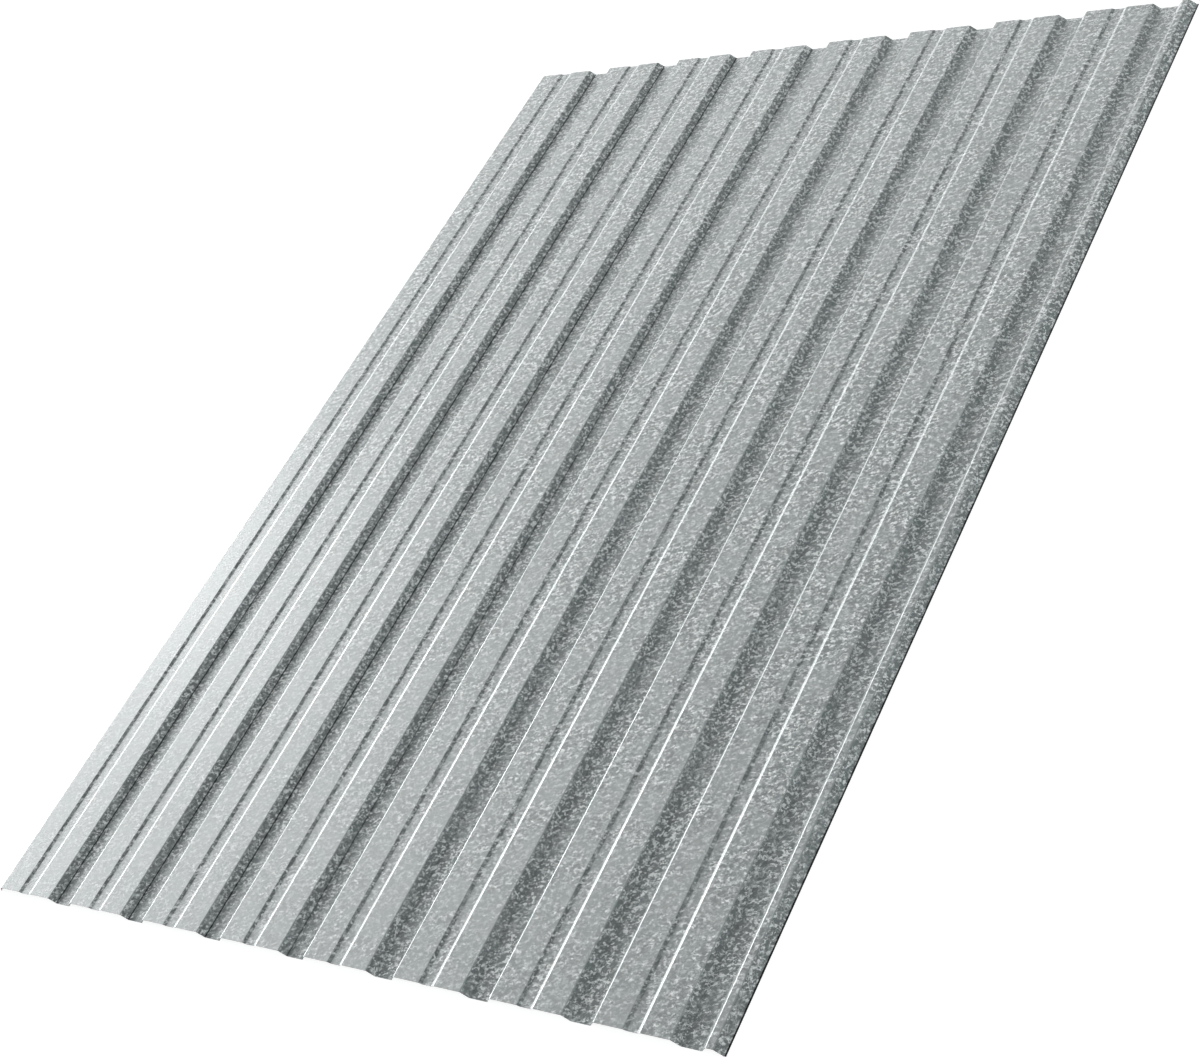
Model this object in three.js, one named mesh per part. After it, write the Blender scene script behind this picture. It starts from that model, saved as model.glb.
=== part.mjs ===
// Profiled steel sheet with flat crests, cold rolled from one length of galvanised coil.
//
// The section repeats one wave: a sloping web, a wide crest with a shallow stiffening groove
// along its middle, a second web and a narrow valley. The first crest is complete, and it laps
// over the narrow crest that closes the other long edge of the neighbouring sheet.
//
// Millimetres. +X runs across the waves towards the narrow lap crest, +Y along the sheet and
// +Z up. The origin is the middle of the footprint, at the underside of the valleys.

import * as THREE from 'three';

// Sheet
const SHEET_LENGTH = 1700;
const SHEET_THICKNESS = 0.5;
const PROFILE_HEIGHT = 10;
const INSIDE_BEND_RADIUS = 1.5;

// Waves: widths are measured between the sharp corners of the sheet's middle surface
const COVER_WIDTH = 1150;
const WAVE_COUNT = 8;
const VALLEY_WIDTH = 26;
const WEB_RUN = 8.75;

// Stiffening groove along the middle of each crest
const GROOVE_OPENING = 23;
const GROOVE_FLOOR = 14;
const GROOVE_DEPTH = 2;

// Narrow crest and turned-out lip on the lap edge
const LAP_CREST_WIDTH = 9.5;
const LAP_LIP_WIDTH = 3;

// Each curve is cut into twice this many straight facets
const BEND_DIVISIONS = 3;

const ZINC_GREY = 0xb4b8b8;

const halfThickness = SHEET_THICKNESS / 2;
const bendRadius = INSIDE_BEND_RADIUS + halfThickness;
const wavePitch = COVER_WIDTH / WAVE_COUNT;
const crestWidth = wavePitch - VALLEY_WIDTH - 2 * WEB_RUN;
const webRise = PROFILE_HEIGHT - SHEET_THICKNESS;
const grooveWallRun = (GROOVE_OPENING - GROOVE_FLOOR) / 2;
const crestShoulder = (crestWidth - GROOVE_OPENING) / 2;

// Runs and rises of the middle surface across one crest, with its groove
function groovedCrest() {
  return [
    [crestShoulder, 0],
    [grooveWallRun, -GROOVE_DEPTH],
    [GROOVE_FLOOR, 0],
    [grooveWallRun, GROOVE_DEPTH],
    [crestShoulder, 0],
  ];
}

// Runs and rises of one whole wave, from the foot of its left web to the end of its valley
function wave() {
  return [[WEB_RUN, webRise], ...groovedCrest(), [WEB_RUN, -webRise], [VALLEY_WIDTH, 0]];
}

// Runs and rises of the narrow crest and lip that the neighbouring sheet covers
function lapEdge() {
  return [[WEB_RUN, webRise], [LAP_CREST_WIDTH, 0], [WEB_RUN, -webRise], [LAP_LIP_WIDTH, 0]];
}

// Sharp corners of the middle surface, from the left edge of the sheet to its right edge
function middleSurface() {
  const runs = [];
  for (let index = 0; index < WAVE_COUNT; index += 1) {
    runs.push(...wave());
  }
  runs.push(...lapEdge());
  const corner = new THREE.Vector2(0, halfThickness);
  return [corner.clone(), ...runs.map(([run, rise]) => corner.add(new THREE.Vector2(run, rise)).clone())];
}

// Direction from one corner to the next
function heading(from, to) {
  return to.clone().sub(from).normalize();
}

// Normal on the left of a direction, which is the upper face of the sheet
function leftNormal(direction) {
  return new THREE.Vector2(-direction.y, direction.x);
}

// The bend that rounds one corner: its centre, the way it turns and its two end normals
function bendAt(before, corner, after) {
  const arriving = heading(before, corner);
  const leaving = heading(corner, after);
  const turn = Math.sign(arriving.cross(leaving));
  const halfTurn = Math.acos(arriving.dot(leaving)) / 2;
  const tangentPoint = corner.clone().addScaledVector(arriving, -bendRadius * Math.tan(halfTurn));
  const centre = tangentPoint.addScaledVector(leftNormal(arriving), turn * bendRadius);
  return { centre, turn, arriving: leftNormal(arriving), leaving: leftNormal(leaving) };
}

// Adds one bend to the outline: side is +1 on the upper face and -1 on the underside, where the
// outline runs back from right to left
function traceBend(outline, bend, side) {
  const radius = bendRadius - side * bend.turn * halfThickness;
  const outward = -bend.turn;
  const arriving = bend.arriving.clone().multiplyScalar(outward).angle();
  const leaving = bend.leaving.clone().multiplyScalar(outward).angle();
  const [start, end] = side > 0 ? [arriving, leaving] : [leaving, arriving];
  outline.absarc(bend.centre.x, bend.centre.y, radius, start, end, side * bend.turn < 0);
}

// Point on a cut edge of the sheet, on the upper face or on the underside
function cutEdgePoint(corner, direction, side) {
  return corner.clone().addScaledVector(leftNormal(direction), side * halfThickness);
}

// Closed outline of the rolled section, clockwise: over the upper face and back underneath
function sectionOutline() {
  const corners = middleSurface();
  const last = corners.length - 1;
  const bends = [];
  for (let index = 1; index < last; index += 1) {
    bends.push(bendAt(corners[index - 1], corners[index], corners[index + 1]));
  }
  const leftHeading = heading(corners[0], corners[1]);
  const rightHeading = heading(corners[last - 1], corners[last]);
  const outline = new THREE.Shape();
  const begin = cutEdgePoint(corners[0], leftHeading, -1);
  const leftTop = cutEdgePoint(corners[0], leftHeading, 1);
  const rightTop = cutEdgePoint(corners[last], rightHeading, 1);
  const rightUnder = cutEdgePoint(corners[last], rightHeading, -1);
  outline.moveTo(begin.x, begin.y);
  outline.lineTo(leftTop.x, leftTop.y);
  bends.forEach((bend) => traceBend(outline, bend, 1));
  outline.lineTo(rightTop.x, rightTop.y);
  outline.lineTo(rightUnder.x, rightUnder.y);
  bends.reverse().forEach((bend) => traceBend(outline, bend, -1));
  return outline;
}

// The sheet: its section swept straight along its length, laid flat on its valleys
function profiledSheetGeometry() {
  const geometry = new THREE.ExtrudeGeometry(sectionOutline(), {
    depth: SHEET_LENGTH,
    curveSegments: BEND_DIVISIONS,
    bevelEnabled: false,
  });
  geometry.rotateX(Math.PI / 2);
  geometry.center();
  geometry.translate(0, 0, PROFILE_HEIGHT / 2);
  return geometry;
}

const galvanisedSteel = new THREE.MeshStandardMaterial({
  color: ZINC_GREY,
  roughness: 0.38,
  metalness: 0.9,
});

const profiledSheet = new THREE.Mesh(profiledSheetGeometry(), galvanisedSteel);
profiledSheet.name = 'profiled_sheet';

const corrugatedMetalSheet = new THREE.Group();
corrugatedMetalSheet.name = 'corrugated_metal_sheet';
corrugatedMetalSheet.add(profiledSheet);

export default corrugatedMetalSheet;
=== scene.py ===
"""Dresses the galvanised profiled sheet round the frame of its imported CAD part.

The sheet lies on its valleys in the row frame: +X runs across the waves towards the narrow lap crest,
+Y along them and +Z up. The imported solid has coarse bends, so it is replaced by one finer mesh of the same
section. That mesh carries a spangled zinc coating on its two faces and bare steel on its sheared edges.
All lengths are in metres.
"""

import logging
import math
from dataclasses import dataclass, field
from enum import Enum

import bmesh
import bpy
import numpy as np
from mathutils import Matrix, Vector


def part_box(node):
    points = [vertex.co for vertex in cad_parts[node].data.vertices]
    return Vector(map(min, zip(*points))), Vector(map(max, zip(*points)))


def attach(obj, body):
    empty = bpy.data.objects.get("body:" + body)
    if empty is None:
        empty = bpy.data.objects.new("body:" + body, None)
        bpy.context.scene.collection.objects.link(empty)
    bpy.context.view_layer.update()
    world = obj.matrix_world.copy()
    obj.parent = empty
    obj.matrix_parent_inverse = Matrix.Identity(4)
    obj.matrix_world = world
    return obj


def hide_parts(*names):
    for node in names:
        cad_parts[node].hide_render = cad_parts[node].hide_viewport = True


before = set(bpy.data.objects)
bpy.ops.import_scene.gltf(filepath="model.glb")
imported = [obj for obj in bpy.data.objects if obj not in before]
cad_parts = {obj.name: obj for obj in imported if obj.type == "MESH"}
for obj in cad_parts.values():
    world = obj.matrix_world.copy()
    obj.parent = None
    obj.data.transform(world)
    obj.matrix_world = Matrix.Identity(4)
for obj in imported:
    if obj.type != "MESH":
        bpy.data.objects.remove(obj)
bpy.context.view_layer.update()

MM = 0.001
NODE = "profiled_sheet"
BODY = "root"
STRIP_PLACE = "strip_place"
ROLLING = "rolling"
CROWDING = "crowding"
ACROSS = (1, 0, 0)
ALONG = (0, 1, 0)
UP = (0, 0, 1)
WHITE = (1, 1, 1, 1)
NOISE_MIDDLE = 0.5
NOISE_SWING = 0.25
MIDDLE_OF_BEND = 0.99
FOOT_HEIGHT = 0.5
TOP_HEIGHT = 0.9
LEVEL_FLATNESS = 0.9

log = logging.getLogger("profiled_sheet")


class Skin(Enum):
    """The two kinds of surface on a rolled sheet, by material index."""

    COATED = 0
    SHEARED = 1


class NodeSketch:
    """A short hand for drawing the node tree of one material or world."""

    def __init__(self, tree: bpy.types.NodeTree) -> None:
        """Starts from an empty tree.

        Args:
            tree: the node tree to draw in.
        """
        self.tree = tree
        tree.nodes.clear()

    def add(self, kind: str, **settings: object) -> bpy.types.Node:
        """Adds one node.

        Args:
            kind: the node's type name, without the leading ShaderNode.
            **settings: properties of the node, such as operation or blend_type.

        Returns:
            The new node.
        """
        node = self.tree.nodes.new("ShaderNode" + kind)
        for name, value in settings.items():
            setattr(node, name, value)
        return node

    def feed(self, target: bpy.types.NodeSocket, source: object) -> None:
        """Feeds a socket from another socket, or sets it to a plain value.

        Args:
            target: the socket to feed.
            source: a socket, or a value that suits the target.
        """
        if isinstance(source, bpy.types.NodeSocket):
            self.tree.links.new(source, target)
        else:
            target.default_value = source

    def math(self, operation: str, *terms: object, clamp: bool = False) -> bpy.types.NodeSocket:
        """Adds a Math node.

        Args:
            operation: the name of the operation, such as MULTIPLY.
            *terms: its inputs, each a socket or a number.
            clamp: whether the result is held between 0 and 1.

        Returns:
            The result's socket.
        """
        node = self.add("Math", operation=operation, use_clamp=clamp)
        for place, term in enumerate(terms):
            self.feed(node.inputs[place], term)
        return node.outputs[0]

    def vector_math(self, operation: str, *terms: object) -> bpy.types.NodeSocket:
        """Adds a Vector Math node.

        Args:
            operation: the name of the operation, such as ADD.
            *terms: its inputs, each a socket or three numbers.

        Returns:
            The socket of the resulting vector.
        """
        node = self.add("VectorMath", operation=operation)
        for place, term in enumerate(terms):
            self.feed(node.inputs["Scale"] if operation == "SCALE" and place else node.inputs[place], term)
        return node.outputs["Vector"]

    def ramp(self, value: bpy.types.NodeSocket, low: float, high: float, start: object = 0.0,
             end: object = 1.0) -> bpy.types.NodeSocket:
        """Maps a value smoothly from one range to another.

        Args:
            value: the socket to map.
            low: the value at which the result is start.
            high: the value at which the result is end.
            start: the result at and under low.
            end: the result at and over high.

        Returns:
            The result's socket.
        """
        node = self.add("MapRange", interpolation_type="SMOOTHSTEP")
        names = ("Value", "From Min", "From Max", "To Min", "To Max")
        for name, term in zip(names, (value, low, high, start, end)):
            self.feed(node.inputs[name], term)
        return node.outputs["Result"]

    def towards(self, value: object, goal: object, share: object) -> bpy.types.NodeSocket:
        """Moves a value towards a goal.

        Args:
            value: the value, a socket or a number.
            goal: the goal, a socket or a number.
            share: how far the value moves, from 0 to 1, a socket or a number.

        Returns:
            The result's socket.
        """
        return self.math("MULTIPLY_ADD", self.math("SUBTRACT", goal, value), share, value)

    def blend(self, share: object, first: object, second: object) -> bpy.types.NodeSocket:
        """Mixes two colours.

        Args:
            share: the share of the second colour, a socket or a number.
            first: a colour or a socket.
            second: a colour or a socket.

        Returns:
            The socket of the mixed colour.
        """
        node = self.add("Mix", data_type="RGBA")
        self.feed(node.inputs["Factor"], share)
        colours = [socket for socket in node.inputs if socket.type == "RGBA"]
        self.feed(colours[0], first)
        self.feed(colours[1], second)
        return next(socket for socket in node.outputs if socket.type == "RGBA")

    def dot(self, first: bpy.types.NodeSocket, second: tuple[float, float, float]) -> bpy.types.NodeSocket:
        """The dot product of a vector and a fixed direction.

        Args:
            first: the vector's socket.
            second: the fixed direction.

        Returns:
            The product's socket.
        """
        node = self.add("VectorMath", operation="DOT_PRODUCT")
        self.feed(node.inputs[0], first)
        self.feed(node.inputs[1], second)
        return node.outputs["Value"]

    def noise(self, place: bpy.types.NodeSocket, size: float, detail: float = 2.0) -> bpy.types.Node:
        """Adds a noise whose features measure about size.

        Args:
            place: where the noise is read, in metres.
            size: the width of its features.
            detail: how many finer octaves it holds.

        Returns:
            The noise node.
        """
        node = self.add("TexNoise", noise_dimensions="3D")
        self.feed(node.inputs["Vector"], place)
        self.feed(node.inputs["Scale"], 1.0 / size)
        self.feed(node.inputs["Detail"], detail)
        return node

    def cells(self, place: bpy.types.NodeSocket, size: float) -> bpy.types.Node:
        """Adds a pattern of random cells.

        Args:
            place: where the pattern is read, in metres.
            size: the mean width of a cell.

        Returns:
            The Voronoi node.
        """
        node = self.add("TexVoronoi", voronoi_dimensions="3D", feature="F1")
        self.feed(node.inputs["Vector"], place)
        self.feed(node.inputs["Scale"], 1.0 / size)
        return node


@dataclass(frozen=True)
class SpangledZinc:
    """The hot-dip coating: bright metal under a bloom of fine frosted crystals.

    The bloom adds to the frost, which scatters light, and takes from the shine, which mirrors it. Places are
    on the flat strip, across it from its left edge and along it from its middle. A range is two levels of a
    noise between which a pattern comes in. Painted shade darkens the folds at the feet of the webs and a
    band along the slit edges.

    Attributes:
        crystal: the mean width of a crystal.
        curl: the size of the noise whose middle level draws the curls.
        curl_width: how far from that level a curl fades out, where the noise runs from -1 to 1.
        wisp: the size of the wisps, with wisp_detail octaves, that come in over wisp_range.
        mix: the shares of crystals, curls and wisps in the bloom.
        sharpness: the power that leaves few flecks of the bloom bright.
        middling: about the average of what the power gives, which is taken off.
        stretch: how many times longer the crystals are across the strip than along it.
        closeness: how many times closer they lie on the webs than on the level.
        slant: how far they turn from straight across.
        wander: how far their places drift, in swirls of wander_size.
        patch: the size of the patches in which the bloom weakens to a share of calm, over patch_range.
        swing: the bloom's strength halfway along, and its gain for each metre, where it isn't burnished.
        growth: its strength at the two ends of growth_run, measured along growth_way, where it is burnished.
        frosted: the frost where the bloom is 0, which it raises to most_frosted at most.
        shine: the shine without frost, which loses loss for a whole frost.
        dapple: how far the shine goes up and down, times the bloom's strength, in spots of dapple_size.
        polish: how far the outsides of bends are polished at the two ends of polish_run, along polish_way.
        polish_reach: how far into a bend the polish is whole.
        polished: the shine of polished zinc, which has polished_roughness.
        roughness: the roughness without frost, and what a whole frost adds.
        relief: how high the bloom stands.
        fold_shade: the distances from a fold at which the painted shade in the fold is darkest and is clear
            again.
        fold_shade_fade: the places across the strip between which that painted shade fades away from
            fold_shaded.
        fold_shaded: the share of its brightness that the coating keeps under the darkest painted fold shade.
        edge_shade: the distances from a slit edge at which the painted shade along it is darkest and is
            clear again.
        edge_shaded: the share of its brightness that the coating keeps under the darkest painted edge shade.
        tint: the metal's colour, which turns to warm_tint in patches of tint_patch, over tint_range.
    """

    crystal: float = 2.4 * MM
    curl: float = 3.1 * MM
    curl_width: float = 0.22
    wisp: float = 6.0 * MM
    wisp_detail: float = 3.0
    wisp_range: tuple[float, float] = (0.34, 0.66)
    mix: tuple[float, float, float] = (0.5, 0.15, 0.35)
    sharpness: float = 3.0
    middling: float = 0.165
    stretch: float = 1.32
    closeness: float = 1.4
    slant: float = math.radians(18)
    wander: float = 1.5 * MM
    wander_size: float = 6.5 * MM
    patch: float = 60 * MM
    patch_range: tuple[float, float] = (0.4, 0.6)
    calm: float = 0.5
    swing: tuple[float, float] = (3.3, 1.05)
    growth_way: tuple[float, float, float] = (0.26, 0.45, 0)
    growth_run: tuple[float, float] = (-0.35, 0.55)
    growth: tuple[float, float] = (0.75, 2.3)
    frosted: float = 0.218
    most_frosted: float = 0.85
    shine: float = 0.27
    loss: float = 0.15
    dapple: float = 0.067
    dapple_size: float = 3 * MM
    polish: tuple[float, float] = (0.93, 0.1)
    polish_way: tuple[float, float, float] = (0.4, 1.0, 0)
    polish_run: tuple[float, float] = (0.3, 0.75)
    polish_reach: float = 0.5
    polished: float = 0.55
    polished_roughness: float = 0.27
    roughness: tuple[float, float] = (0.43, 0.3)
    relief: float = 0.08 * MM
    fold_shade: tuple[float, float] = (0.5 * MM, 1.4 * MM)
    fold_shade_fade: tuple[float, float] = (0.4, 0.85)
    fold_shaded: float = 0.08
    edge_shade: tuple[float, float] = (1.6 * MM, 2.2 * MM)
    edge_shaded: float = 0.03
    tint: tuple[float, float, float, float] = (0.925, 1.0, 1.0, 1)
    warm_tint: tuple[float, float, float, float] = (0.96, 0.995, 1.0, 1)
    tint_patch: float = 30 * MM
    tint_range: tuple[float, float] = (0.4, 0.6)

    def material(self, width: float) -> bpy.types.Material:
        """Makes the coating's material.

        Args:
            width: the width of the flat strip.

        Returns:
            The material, which reads the sheet's place on its flat strip and what the rolls did there.
        """
        made = bpy.data.materials.new("spangled_zinc")
        made.use_nodes = True
        sketch = NodeSketch(made.node_tree)
        place = sketch.add("Attribute", attribute_name=STRIP_PLACE).outputs["Vector"]
        rolling = sketch.add("SeparateXYZ")
        sketch.feed(rolling.inputs[0], sketch.add("Attribute", attribute_name=ROLLING).outputs["Vector"])
        burnish, bend, fold = rolling.outputs
        lay = self.lay(sketch, place)
        swing = self.swings(sketch, place, burnish)
        bloom = sketch.math("MULTIPLY", self.bloom(sketch, lay), swing)
        frost = sketch.math("ADD", bloom, self.frosted, clamp=True)
        frost = sketch.math("MINIMUM", frost, self.most_frosted)
        matt = sketch.math("MULTIPLY_ADD", frost, self.roughness[1], self.roughness[0])
        shine = sketch.math("MULTIPLY_ADD", frost, -self.loss, self.shine)
        dapple = sketch.math("SUBTRACT", sketch.noise(lay, self.dapple_size).outputs["Fac"], NOISE_MIDDLE)
        shine = sketch.math("MULTIPLY_ADD", dapple, sketch.math("MULTIPLY", swing, self.dapple), shine)
        most_polished = sketch.ramp(sketch.dot(place, self.polish_way), *self.polish_run, *self.polish)
        polish = sketch.ramp(bend, 0.0, self.polish_reach, 0.0, most_polished)
        frost = sketch.towards(frost, 0.0, polish)
        shine = sketch.towards(shine, self.polished, polish)
        whole = sketch.math("ADD", frost, shine)
        metallic = sketch.math("DIVIDE", shine, whole)
        warmth = sketch.ramp(sketch.noise(place, self.tint_patch).outputs["Fac"], *self.tint_range)
        colour = sketch.blend(metallic, WHITE, sketch.blend(warmth, self.tint, self.warm_tint))
        # Painted shade: the folds at the feet of the webs are darkened, most of all in the first waves.
        outside_fold_shade = self.outside_fold_shade(sketch, place, fold)
        # Painted shade: a near-black band along both slit edges.
        kept = sketch.math("MULTIPLY", outside_fold_shade, self.outside_edge_shade(sketch, place, width))
        relief = sketch.add("Bump")
        sketch.feed(relief.inputs["Height"], bloom)
        sketch.feed(relief.inputs["Distance"], self.relief)
        shader = sketch.add("BsdfPrincipled")
        sketch.feed(shader.inputs["Base Color"],
                    sketch.vector_math("SCALE", colour, sketch.math("MULTIPLY", whole, kept)))
        sketch.feed(shader.inputs["Metallic"], metallic)
        sketch.feed(shader.inputs["Roughness"], sketch.towards(matt, self.polished_roughness, polish))
        sketch.feed(shader.inputs["Normal"], relief.outputs["Normal"])
        output = sketch.add("OutputMaterial")
        sketch.feed(output.inputs["Surface"], shader.outputs[0])
        return made

    def lay(self, sketch: NodeSketch, place: bpy.types.NodeSocket) -> bpy.types.NodeSocket:
        """Stretches the crystals across the strip, on a slant that wanders, and crowds them on the webs.

        Args:
            sketch: the material's sketch.
            place: the place on the flat strip.

        Returns:
            The socket of the place at which the crystals are read.
        """
        lead = sketch.add("CombineXYZ")
        sketch.feed(lead.inputs["X"], sketch.add("Attribute", attribute_name=CROWDING).outputs["Fac"])
        place = sketch.vector_math("ADD", place, lead.outputs["Vector"])
        drift = sketch.noise(place, self.wander_size).outputs["Color"]
        drift = sketch.vector_math("SUBTRACT", drift, (NOISE_MIDDLE,) * 3)
        reach = self.wander / NOISE_SWING
        drift = sketch.vector_math("MULTIPLY", drift, (reach, reach, 0))
        lay = sketch.add("Mapping", vector_type="TEXTURE")
        sketch.feed(lay.inputs["Vector"], sketch.vector_math("ADD", place, drift))
        sketch.feed(lay.inputs["Rotation"], (0, 0, self.slant))
        sketch.feed(lay.inputs["Scale"], (self.stretch, 1, 1))
        return lay.outputs["Vector"]

    def bloom(self, sketch: NodeSketch, lay: bpy.types.NodeSocket) -> bpy.types.NodeSocket:
        """Mixes the crystals, the curls and the wisps into one bloom with few bright flecks.

        Args:
            sketch: the material's sketch.
            lay: the place at which the crystals are read.

        Returns:
            The bloom's socket, which is about 0 on average.
        """
        crystals = sketch.add("SeparateColor")
        sketch.feed(crystals.inputs[0], sketch.cells(lay, self.crystal).outputs["Color"])
        wisps = sketch.noise(lay, self.wisp, self.wisp_detail).outputs["Fac"]
        wisps = sketch.ramp(wisps, *self.wisp_range)
        bloom = 0.0
        for share, pattern in zip(self.mix, (crystals.outputs[0], self.curls(sketch, lay), wisps)):
            bloom = sketch.math("MULTIPLY_ADD", pattern, share, bloom)
        return sketch.math("SUBTRACT", sketch.math("POWER", bloom, self.sharpness), self.middling)

    def curls(self, sketch: NodeSketch, lay: bpy.types.NodeSocket) -> bpy.types.NodeSocket:
        """Draws the curled ridges that the crystals grew as fine bright strokes.

        Args:
            sketch: the material's sketch.
            lay: the place at which the crystals are read.

        Returns:
            The strokes' socket, from 0 between them to 1 along them.
        """
        level = sketch.noise(lay, self.curl).outputs["Fac"]
        away = sketch.math("ABSOLUTE", sketch.math("MULTIPLY_ADD", level, 1 / NOISE_MIDDLE, -1.0))
        return sketch.ramp(away, 0.0, self.curl_width, 1.0, 0.0)

    def swings(self, sketch: NodeSketch, place: bpy.types.NodeSocket,
               burnish: bpy.types.NodeSocket) -> bpy.types.NodeSocket:
        """How strongly the bloom shows, in patches that are calmer where the rolls burnished the coating.

        Args:
            sketch: the material's sketch.
            place: the place on the flat strip.
            burnish: how far the rolls burnished the coating, from 0 to 1.

        Returns:
            The strength's socket.
        """
        patch = sketch.noise(place, self.patch).outputs["Fac"]
        patch = sketch.ramp(patch, *self.patch_range, self.calm, 1.0)
        middle, gain = self.swing
        raw = sketch.math("MULTIPLY_ADD", sketch.dot(place, ALONG), gain, middle)
        burnished = sketch.ramp(sketch.dot(place, self.growth_way), *self.growth_run, *self.growth)
        return sketch.math("MULTIPLY", patch, sketch.towards(raw, burnished, burnish))

    def outside_fold_shade(self, sketch: NodeSketch, place: bpy.types.NodeSocket,
                  fold: bpy.types.NodeSocket) -> bpy.types.NodeSocket:
        """Paints shade into the coating where it is folded in at the foot of a web, darkest in the first
        waves.

        Args:
            sketch: the material's sketch.
            place: the place on the flat strip.
            fold: the distance from the nearest fold.

        Returns:
            The socket of the share of its brightness that the coating keeps under the painted fold shade.
        """
        fade = sketch.ramp(sketch.dot(place, ACROSS), *self.fold_shade_fade, self.fold_shaded, 1.0)
        return sketch.ramp(fold, *self.fold_shade, fade, 1.0)

    def outside_edge_shade(self, sketch: NodeSketch, place: bpy.types.NodeSocket,
                 width: float) -> bpy.types.NodeSocket:
        """Paints a dark band of shade along the two slit edges.

        Args:
            sketch: the material's sketch.
            place: the place on the flat strip.
            width: the width of the strip.

        Returns:
            The socket of the share of its brightness that the coating keeps under the painted edge shade.
        """
        across = sketch.dot(place, ACROSS)
        inward = sketch.math("MINIMUM", across, sketch.math("SUBTRACT", width, across))
        return sketch.ramp(inward, *self.edge_shade, self.edge_shaded, 1.0)


@dataclass(frozen=True)
class ShearedEdge:
    """Bare steel where the strip is slit and the sheet cut to length."""

    colour: tuple[float, float, float, float] = (0.06, 0.065, 0.065, 1)
    bright: tuple[float, float, float, float] = (0.12, 0.13, 0.13, 1)
    streak: float = 0.6 * MM
    metallic: float = 0.9
    roughness: float = 0.55

    def material(self) -> bpy.types.Material:
        """Makes the edge's material.

        Returns:
            The material, streaked by the shear.
        """
        made = bpy.data.materials.new("sheared_steel")
        made.use_nodes = True
        sketch = NodeSketch(made.node_tree)
        place = sketch.add("TexCoord").outputs["Object"]
        streak = sketch.noise(place, self.streak).outputs["Fac"]
        colour = sketch.blend(streak, self.colour, self.bright)
        shader = sketch.add("BsdfPrincipled")
        sketch.feed(shader.inputs["Base Color"], colour)
        sketch.feed(shader.inputs["Metallic"], self.metallic)
        sketch.feed(shader.inputs["Roughness"], self.roughness)
        output = sketch.add("OutputMaterial")
        sketch.feed(output.inputs["Surface"], shader.outputs[0])
        return made


@dataclass(frozen=True)
class MiddleLine:
    """The middle of the strip across the sheet, point by point, as rolled.

    Attributes:
        points: one row of x and z for each point.
        upward: the upward normal at each point.
        turn: how far into a bend each point is, up to 1 where the strip turns up and -1 where it turns down.
    """

    points: np.ndarray
    upward: np.ndarray
    turn: np.ndarray

    @property
    def across(self) -> np.ndarray:
        """How far each point lay from the left edge of the flat strip."""
        steps = np.linalg.norm(np.diff(self.points, axis=0), axis=1)
        return np.concatenate([[0], np.cumsum(steps)])

    @property
    def width(self) -> float:
        """The width of the flat strip."""
        return float(self.across[-1])

    @property
    def height(self) -> np.ndarray:
        """How high each point stands, from 0 in the valleys to 1 on the crests."""
        rise = self.points[:, 1] - self.points[:, 1].min()
        return rise / rise.max()

    @property
    def flatness(self) -> np.ndarray:
        """How flat the strip lies at each point, from 0 on the webs to 1 on the level."""
        level = self.upward[:, 1]
        return (level - level.min()) / (1 - level.min())

    def crowding(self, closeness: float) -> np.ndarray:
        """How far the crystals' pattern runs ahead of the strip, as it lies closer on the webs.

        Args:
            closeness: how many times closer they lie there than on the level.

        Returns:
            The lead at each point.
        """
        steepness = 1 - (self.flatness[1:] + self.flatness[:-1]) / 2
        steps = np.diff(self.across) * steepness * (closeness - 1)
        return np.concatenate([[0], np.cumsum(steps)])

    def from_folds(self, upper: bool) -> np.ndarray:
        """How far each point is from the nearest bend at which a web folds one face in.

        Args:
            upper: whether it is the upper face, which is folded in at the foot of a web, or the lower one,
                which is folded in at its top.

        Returns:
            The distances, along the strip.
        """
        folded = self.turn > MIDDLE_OF_BEND if upper else self.turn < -MIDDLE_OF_BEND
        ends = self.height < FOOT_HEIGHT if upper else self.height > TOP_HEIGHT
        middles = self.across[folded & ends & (self.flatness < LEVEL_FLATNESS)]
        return np.abs(self.across[:, None] - middles).min(1)


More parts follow.
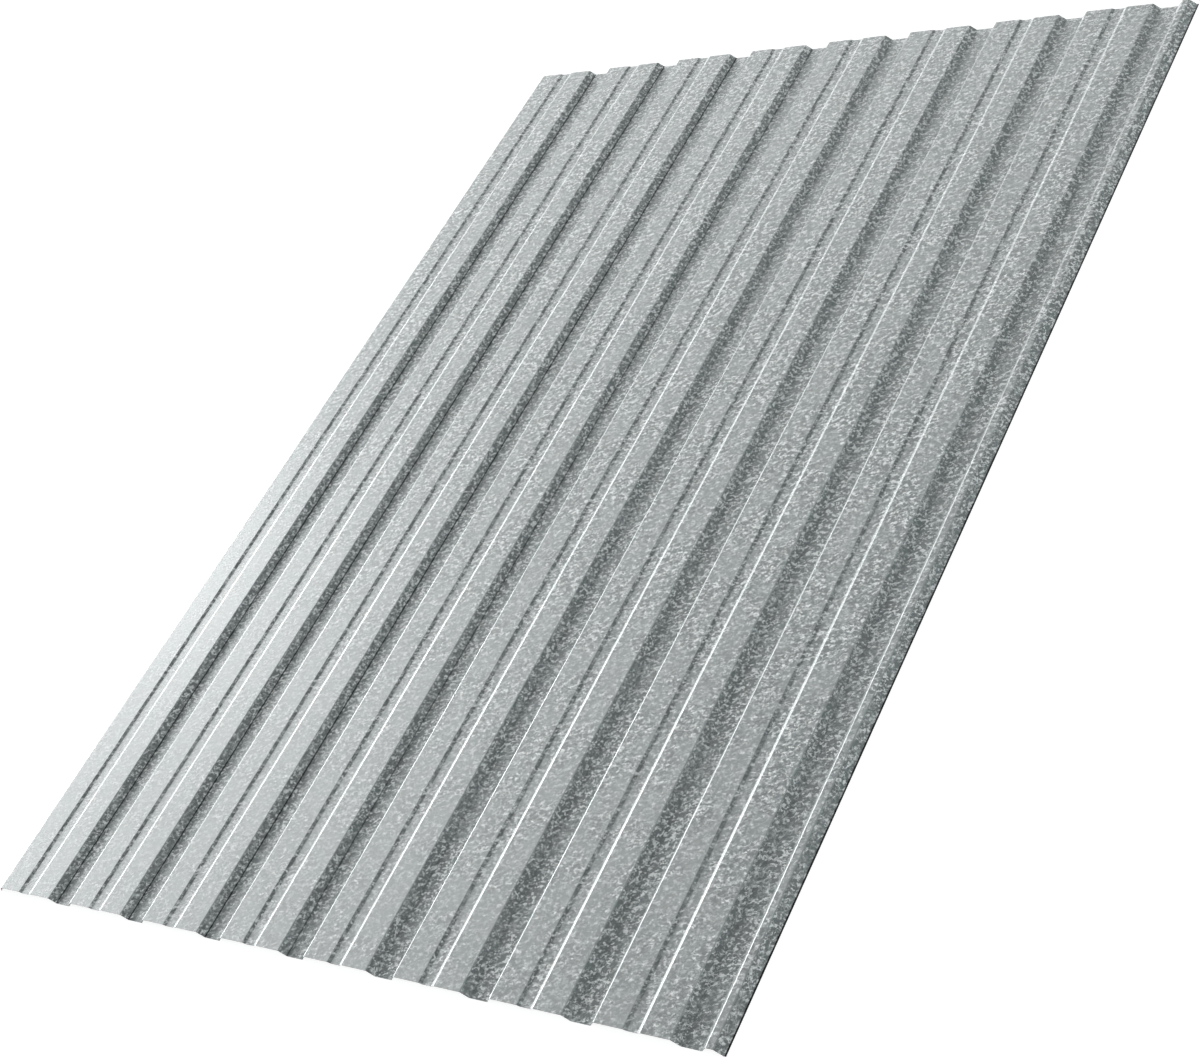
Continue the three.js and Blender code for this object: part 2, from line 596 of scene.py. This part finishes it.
@dataclass(frozen=True)
class SheetSection:
    """The rolled section. Runs and rises are those of the middle of the strip between sharp corners."""

    thickness: float = 0.5 * MM
    inside_bend: float = 1.5 * MM
    cover_width: float = 1150 * MM
    wave_count: int = 8
    valley: float = 26 * MM
    web_run: float = 8.75 * MM
    web_rise: float = 9.5 * MM
    groove_opening: float = 23 * MM
    groove_floor: float = 14 * MM
    groove_depth: float = 2 * MM
    lap_crest: float = 9.5 * MM
    lap_lip: float = 3 * MM
    bend_steps: int = 8
    longest_flat: float = 13 * MM

    @property
    def pitch(self) -> float:
        """The distance from one wave to the next."""
        return self.cover_width / self.wave_count

    @property
    def bend_radius(self) -> float:
        """The radius of a bend at the middle of the strip."""
        return self.inside_bend + self.thickness / 2

    def wave(self) -> list[tuple[float, float]]:
        """One wave from the foot of its left web to the foot of the next.

        Returns:
            Runs and rises in order.
        """
        crest = self.pitch - self.valley - 2 * self.web_run
        shoulder = (crest - self.groove_opening) / 2
        wall = (self.groove_opening - self.groove_floor) / 2
        return [
            (self.web_run, self.web_rise),
            (shoulder, 0),
            (wall, -self.groove_depth),
            (self.groove_floor, 0),
            (wall, self.groove_depth),
            (shoulder, 0),
            (self.web_run, -self.web_rise),
            (self.valley, 0),
        ]

    def lap_edge(self) -> list[tuple[float, float]]:
        """The narrow crest and lip that close the section.

        Returns:
            Runs and rises in order.
        """
        return [
            (self.web_run, self.web_rise),
            (self.lap_crest, 0),
            (self.web_run, -self.web_rise),
            (self.lap_lip, 0),
        ]

    def corners(self) -> np.ndarray:
        """The sharp corners of the middle line, from the left edge to the right.

        Returns:
            One row of x and z for each corner.
        """
        steps = np.array(self.wave() * self.wave_count + self.lap_edge())
        return np.vstack([(0, 0), np.cumsum(steps, axis=0)])

    def middle_line(self) -> MiddleLine:
        """Rounds the corners and divides the flats.

        Returns:
            The middle line.
        """
        corners = self.corners()
        headings = np.arctan2(*np.diff(corners, axis=0).T[::-1])
        points = [corners[:1]]
        upward = [self.upward(headings[:1])]
        turn = [np.zeros(1)]
        start = corners[0]
        for here, arrive, leave in zip(corners[1:], headings, headings[1:]):
            reach = self.bend_radius * math.tan(abs(leave - arrive) / 2)
            bend_start = here - reach * np.array([math.cos(arrive), math.sin(arrive)])
            flat = self.flat(start, bend_start)
            turned = np.linspace(arrive, leave, self.bend_steps + 1)[1:]
            side = math.copysign(1, leave - arrive)
            swing = self.upward(np.array([arrive])) - self.upward(turned)
            bend = bend_start + side * self.bend_radius * swing
            points += [flat, bend]
            upward += [self.upward(np.full(len(flat), arrive)), self.upward(turned)]
            turn += [np.zeros(len(flat)), side * self.swell(self.bend_steps)]
            start = bend[-1]
        flat = self.flat(start, corners[-1])
        points.append(flat)
        upward.append(self.upward(np.full(len(flat), headings[-1])))
        turn.append(np.zeros(len(flat)))
        return MiddleLine(np.vstack(points), np.vstack(upward), np.concatenate(turn))

    @staticmethod
    def upward(headings: np.ndarray) -> np.ndarray:
        """The upward normals of stretches that run at the given headings."""
        return np.stack([-np.sin(headings), np.cos(headings)], 1)

    @staticmethod
    def swell(steps: int) -> np.ndarray:
        """How far into a bend each of its points is, from 0 at its ends to 1 at its middle."""
        return np.sin(np.linspace(0, math.pi, steps + 1)[1:])

    def flat(self, start: np.ndarray, end: np.ndarray) -> np.ndarray:
        """Divides one flat.

        Args:
            start: where it begins.
            end: where it ends.

        Returns:
            Its points after start, up to and with end.
        """
        count = max(1, math.ceil(np.linalg.norm(end - start) / self.longest_flat))
        return np.linspace(start, end, count + 1)[1:]


@dataclass(frozen=True)
class Ring:
    """The outline of the section: over the upper face from left to right, and back under the lower face."""

    line: MiddleLine
    thickness: float

    @property
    def count(self) -> int:
        """The number of points on one face."""
        return len(self.line.points)

    def points(self, low: Vector, high: Vector) -> np.ndarray:
        """Places the outline in the sheet's box.

        Args:
            low: the box's lowest corner.
            high: the box's highest corner.

        Returns:
            One row of x and z for each point.
        """
        half = self.thickness / 2 * self.line.upward
        ring = np.vstack([self.line.points + half, (self.line.points - half)[::-1]])
        ring[:, 0] += (low.x + high.x - ring[:, 0].min() - ring[:, 0].max()) / 2
        ring[:, 1] += low.z - ring[:, 1].min()
        return ring

    def normals(self) -> np.ndarray:
        """The outward normals at the four corners of each face of one swept span.

        Returns:
            One block of four normals for each point of the ring, for the face from it to the next.
        """
        upward = self.line.upward
        outward = np.vstack([upward, -upward[::-1]])
        following = np.roll(outward, -1, axis=0)
        flat = np.stack([outward, following, following, outward], 1)
        flat[self.is_edge()] = 0
        flat[self.count - 1, :, 0] = 1
        flat[-1, :, 0] = -1
        return np.insert(flat, 1, 0.0, axis=2)

    def is_edge(self) -> np.ndarray:
        """Whether the face from each point to the next is one of the two slit edges."""
        place = np.arange(2 * self.count)
        return (place == self.count - 1) | (place == 2 * self.count - 1)

    def face_by_face(self, upper: np.ndarray, lower: np.ndarray) -> np.ndarray:
        """Lays a value for each point of the upper face and of the lower face round the ring."""
        return np.concatenate([upper, lower[::-1]])


@dataclass
class ProfiledSheet:
    """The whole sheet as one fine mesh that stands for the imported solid.

    Attributes:
        section: the rolled section.
        zinc: the coating of the two faces.
        edge: the bare steel of the sheared edges.
        station_step: about how far apart the section is repeated along the sheet.
        left_lean: how far a normal leans left before the strip counts as facing left.
        left_burnish: how far the rolls burnished what faces left.
        burnish_power: how steeply the burnish falls away as the strip leaves the level.
        low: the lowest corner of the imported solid's box.
        high: its highest corner.
    """

    section: SheetSection
    zinc: SpangledZinc
    edge: ShearedEdge
    station_step: float = 40 * MM
    left_lean: float = 0.01
    left_burnish: float = 0.8
    burnish_power: int = 4
    low: Vector = field(default_factory=lambda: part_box(NODE)[0])
    high: Vector = field(default_factory=lambda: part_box(NODE)[1])

    def build(self) -> bpy.types.Object:
        """Builds and dresses the sheet.

        Returns:
            The finished piece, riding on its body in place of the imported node.
        """
        mesh = bpy.data.meshes.new("galvanised_sheet")
        ring = Ring(self.section.middle_line(), self.section.thickness)
        for finish in (self.zinc.material(ring.line.width), self.edge.material()):
            mesh.materials.append(finish)
        self.sweep(mesh, ring)
        self.mark(mesh, ring)
        piece = bpy.data.objects.new("galvanised_sheet", mesh)
        bpy.context.scene.collection.objects.link(piece)
        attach(piece, BODY)
        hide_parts(NODE)
        return piece

    def stations(self) -> np.ndarray:
        """The places along the sheet at which the section is repeated."""
        length = self.high.y - self.low.y
        return np.linspace(self.low.y, self.high.y, round(length / self.station_step) + 1)

    def sweep(self, mesh: bpy.types.Mesh, ring: Ring) -> None:
        """Sweeps the section along the sheet and closes its two ends.

        Args:
            mesh: an empty mesh with the two materials.
            ring: the outline of the section.
        """
        stations = self.stations()
        spans = len(stations) - 1
        outline = ring.points(self.low, self.high)
        size = len(outline)
        vertices = np.empty((len(stations), size, 3))
        vertices[..., 0] = outline[:, 0]
        vertices[..., 1] = stations[:, None]
        vertices[..., 2] = outline[:, 1]
        here = np.arange(size)
        there = np.roll(here, -1)
        span = np.stack([here, there, there + size, here + size], 1)
        top = np.arange(ring.count - 1)
        cap = np.stack([top, size - 1 - top, size - 2 - top, top + 1], 1)
        faces = np.vstack([span + row * size for row in range(spans)] + [cap, spans * size + cap[:, ::-1]])
        ends = [np.tile([0.0, way, 0.0], (len(cap), 4, 1)) for way in (-1, 1)]
        normals = np.concatenate([ring.normals()] * spans + ends)
        skin = np.where(ring.is_edge(), Skin.SHEARED.value, Skin.COATED.value)
        skins = np.concatenate([skin] * spans + [np.full(2 * len(cap), Skin.SHEARED.value)])
        mesh.from_pydata(vertices.reshape(-1, 3).tolist(), [], faces.tolist())
        mesh.polygons.foreach_set("material_index", skins.astype(np.int32))
        mesh.shade_smooth()
        mesh.update()
        mesh.normals_split_custom_set(normals.reshape(-1, 3).tolist())

    def mark(self, mesh: bpy.types.Mesh, ring: Ring) -> None:
        """Writes what the coating's pattern reads: the place on the strip, and what the rolls did there.

        Args:
            mesh: the sheet's mesh.
            ring: the outline of the section.
        """
        line = ring.line
        leans_left = line.upward[:, 0] < -self.left_lean
        burnish = np.where(leans_left, self.left_burnish, line.flatness ** self.burnish_power * line.height)
        none = np.zeros(ring.count)
        stations = self.stations()
        place = np.zeros((len(stations), 2 * ring.count, 3))
        place[..., 0] = ring.face_by_face(line.across, line.across)
        place[..., 1] = stations[:, None]
        place[..., 2] = ring.face_by_face(none, none + 1)
        rolling = np.zeros_like(place)
        rolling[..., 0] = ring.face_by_face(burnish, burnish)
        rolling[..., 1] = ring.face_by_face(np.maximum(-line.turn, 0), np.maximum(line.turn, 0))
        # The distances from the folds drive the painted shade in the folds.
        rolling[..., 2] = ring.face_by_face(line.from_folds(upper=True), line.from_folds(upper=False))
        for name, values in ((STRIP_PLACE, place), (ROLLING, rolling)):
            attribute = mesh.attributes.new(name, "FLOAT_VECTOR", "POINT")
            attribute.data.foreach_set("vector", values.astype(np.float32).ravel())
        lead = line.crowding(self.zinc.closeness)
        leads = np.tile(ring.face_by_face(lead, lead), len(stations))
        mesh.attributes.new(CROWDING, "FLOAT", "POINT").data.foreach_set("value", leads.astype(np.float32))


@dataclass(frozen=True)
class SoftLamp:
    """One square lamp that points near the middle of the sheet."""

    name: str
    place: tuple[float, float, float]
    size: float
    power: float
    aim: tuple[float, float, float] = (0.0, -0.1, 0.0)

    def build(self) -> bpy.types.Object:
        """Hangs the lamp.

        Returns:
            The lamp.
        """
        lamp = bpy.data.lights.new(self.name, "AREA")
        lamp.shape = "SQUARE"
        lamp.size = self.size
        lamp.energy = self.power
        hung = bpy.data.objects.new(self.name, lamp)
        hung.location = self.place
        hung.rotation_euler = (Vector(self.aim) - Vector(self.place)).to_track_quat("-Z", "Y").to_euler()
        bpy.context.scene.collection.objects.link(hung)
        return hung


@dataclass(frozen=True)
class Surround:
    """The light round the sheet: a window and a doorway on the left, a pale wall behind and the horizon.

    A bearing is that of the middle of the window, the doorway or the wall, from -X towards +Y. A side is the
    two cosines from there at which it ends and at which it is whole. A height is the sine of the angle up.

    Attributes:
        overhead: the strength from everywhere.
        horizon: what the horizon adds, which falls away over a height of horizon_depth.
        doorway: what the doorway adds to the horizon.
        wall: what the pale wall adds at every height.
        window: the strength of the window, which fades out over the heights of window_top.
        ambient: the colour of all but the window, which is white.
    """

    overhead: float = 0.37
    horizon: float = 1.25
    horizon_depth: float = 0.12
    doorway: float = 2.2
    doorway_bearing: float = math.radians(27)
    doorway_side: tuple[float, float] = (0.92, 0.985)
    wall: float = 0.17
    wall_bearing: float = math.radians(127)
    wall_side: tuple[float, float] = (0.6, 0.95)
    window: float = 3.1
    window_bearing: float = math.radians(36)
    window_side: tuple[float, float] = (0.4, 0.85)
    window_top: tuple[float, float] = (0.1, 0.77)
    ambient: tuple[float, float, float, float] = (0.93, 0.995, 1.0, 1)

    def build(self) -> None:
        """Makes the world and gives it to the scene."""
        world = bpy.data.worlds.new("surround")
        world.use_nodes = True
        bpy.context.scene.world = world
        sketch = NodeSketch(world.node_tree)
        towards = sketch.add("TexCoord").outputs["Generated"]
        height = sketch.math("MAXIMUM", sketch.dot(towards, UP), 0.0)
        low = sketch.math("EXPONENT", sketch.math("DIVIDE", height, -self.horizon_depth))
        window = self.facing(sketch, towards, self.window_bearing, self.window_side)
        window = sketch.math("MULTIPLY", window, sketch.ramp(height, *self.window_top, 1.0, 0.0))
        doorway = self.facing(sketch, towards, self.doorway_bearing, self.doorway_side)
        low = sketch.math("MULTIPLY", low, sketch.math("MULTIPLY_ADD", doorway, self.doorway, self.horizon))
        wall = self.facing(sketch, towards, self.wall_bearing, self.wall_side)
        plain = sketch.math("MULTIPLY_ADD", wall, self.wall, self.overhead)
        around = sketch.add("Background")
        sketch.feed(around.inputs["Color"], self.ambient)
        sketch.feed(around.inputs["Strength"], sketch.math("ADD", low, plain))
        beside = sketch.add("Background")
        sketch.feed(beside.inputs["Color"], WHITE)
        sketch.feed(beside.inputs["Strength"], sketch.math("MULTIPLY", window, self.window))
        both = sketch.add("AddShader")
        sketch.feed(both.inputs[0], around.outputs[0])
        sketch.feed(both.inputs[1], beside.outputs[0])
        output = sketch.add("OutputWorld")
        sketch.feed(output.inputs["Surface"], both.outputs[0])

    @staticmethod
    def facing(sketch: NodeSketch, towards: bpy.types.NodeSocket, bearing: float,
               side: tuple[float, float]) -> bpy.types.NodeSocket:
        """Finds how far a direction is inside the window, the doorway or the wall.

        Args:
            sketch: the world's sketch.
            towards: the direction.
            bearing: the bearing of its middle, from -X towards +Y.
            side: the cosines at which it ends and at which it is whole.

        Returns:
            The share's socket, from 0 to 1.
        """
        middle = (-math.cos(bearing), math.sin(bearing), 0)
        return sketch.ramp(sketch.dot(towards, middle), *side)


@dataclass(frozen=True)
class PaleFloor:
    """The floor under the sheet, which shows white and still takes the sheet's shadow.

    Attributes:
        size: the length of its sides.
        gap: how far under the sheet it lies.
        glow: what it adds where the camera or a reflection sees it.
        shown: the grey of its paint where they see it.
        paint: the grey of its paint for all other light.
    """

    size: float = 14.0
    gap: float = 0.1 * MM
    glow: float = 0.85
    shown: float = 0.4
    paint: float = 0.9

    def build(self) -> bpy.types.Object:
        """Lays the floor just under the sheet.

        Returns:
            The floor, which isn't part of the object.
        """
        mesh = bpy.data.meshes.new("floor")
        shape = bmesh.new()
        bmesh.ops.create_grid(shape, x_segments=1, y_segments=1, size=self.size / 2)
        shape.to_mesh(mesh)
        shape.free()
        mesh.materials.append(self.material())
        floor = bpy.data.objects.new("floor", mesh)
        floor.location.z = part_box(NODE)[0].z - self.gap
        bpy.context.scene.collection.objects.link(floor)
        return floor

    def material(self) -> bpy.types.Material:
        """Makes the floor's material.

        Returns:
            The material, which the camera sees through from beneath.
        """
        made = bpy.data.materials.new("pale_floor")
        made.use_nodes = True
        sketch = NodeSketch(made.node_tree)
        path = sketch.add("LightPath")
        seen = sketch.math("MAXIMUM", path.outputs["Is Camera Ray"], path.outputs["Is Glossy Ray"])
        seen = sketch.math("MAXIMUM", seen, path.outputs["Is Transmission Ray"])
        paint = sketch.add("BsdfDiffuse")
        colour = sketch.blend(seen, (self.paint,) * 3 + (1,), (self.shown,) * 3 + (1,))
        sketch.feed(paint.inputs["Color"], colour)
        glow = sketch.add("Emission")
        sketch.feed(glow.inputs["Color"], WHITE)
        sketch.feed(glow.inputs["Strength"], sketch.math("MULTIPLY", seen, self.glow))
        both = sketch.add("AddShader")
        sketch.feed(both.inputs[0], paint.outputs[0])
        sketch.feed(both.inputs[1], glow.outputs[0])
        beneath = sketch.add("NewGeometry").outputs["Backfacing"]
        parted = sketch.add("MixShader")
        sketch.feed(parted.inputs[0], sketch.math("MULTIPLY", beneath, path.outputs["Is Camera Ray"]))
        sketch.feed(parted.inputs[1], both.outputs[0])
        sketch.feed(parted.inputs[2], sketch.add("BsdfTransparent").outputs[0])
        output = sketch.add("OutputMaterial")
        sketch.feed(output.inputs["Surface"], parted.outputs[0])
        return made


@dataclass(frozen=True)
class Studio:
    """The pale floor, the surround and the lamps."""

    floor: PaleFloor = PaleFloor()
    surround: Surround = Surround()
    lamps: tuple[SoftLamp, ...] = (
        SoftLamp("key", place=(-3.0, -0.3, 0.8), size=1.0, power=21.0),
        SoftLamp("side", place=(-2.1, 0.48, 0.6), size=0.6, power=9.4),
        SoftLamp("far", place=(-2.1, 1.4, 0.42), size=0.5, power=0.7),
    )

    def build(self) -> None:
        """Lays the floor, makes the surround and hangs the lamps."""
        self.floor.build()
        self.surround.build()
        for lamp in self.lamps:
            lamp.build()


@dataclass(frozen=True)
class ViewCamera:
    """A camera over the near right corner, looking down across the sheet.

    Attributes:
        lens: the focal length in millimetres.
        place: where it stands.
        tilt: its turns about x, y and z, in degrees.
        shift: how far the frame is moved across and up, as shares of its width.
        reach: the distance to which it sees.
    """

    lens: float = 64.411
    place: tuple[float, float, float] = (1.77803, -1.61719, 1.75501)
    tilt: tuple[float, float, float] = (47.027, 26.698, 29.136)
    shift: tuple[float, float] = (0.0547, 0.0192)
    reach: float = 100.0

    def build(self) -> bpy.types.Object:
        """Places the camera and makes it the scene's own.

        Returns:
            The camera.
        """
        data = bpy.data.cameras.new("view")
        data.lens = self.lens
        data.shift_x, data.shift_y = self.shift
        data.clip_end = self.reach
        camera = bpy.data.objects.new("view", data)
        camera.location = self.place
        camera.rotation_euler = [math.radians(angle) for angle in self.tilt]
        bpy.context.scene.collection.objects.link(camera)
        bpy.context.scene.camera = camera
        return camera


def main() -> None:
    """Builds the camera, the sheet and the studio in order."""
    logging.basicConfig(level=logging.INFO, format="%(name)s: %(message)s")
    bpy.context.scene.view_settings.view_transform = "Standard"
    ViewCamera().build()
    sheet = ProfiledSheet(SheetSection(), SpangledZinc(), ShearedEdge())
    piece = sheet.build()
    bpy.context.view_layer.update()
    Studio().build()


if __name__ == "__main__":
    main()
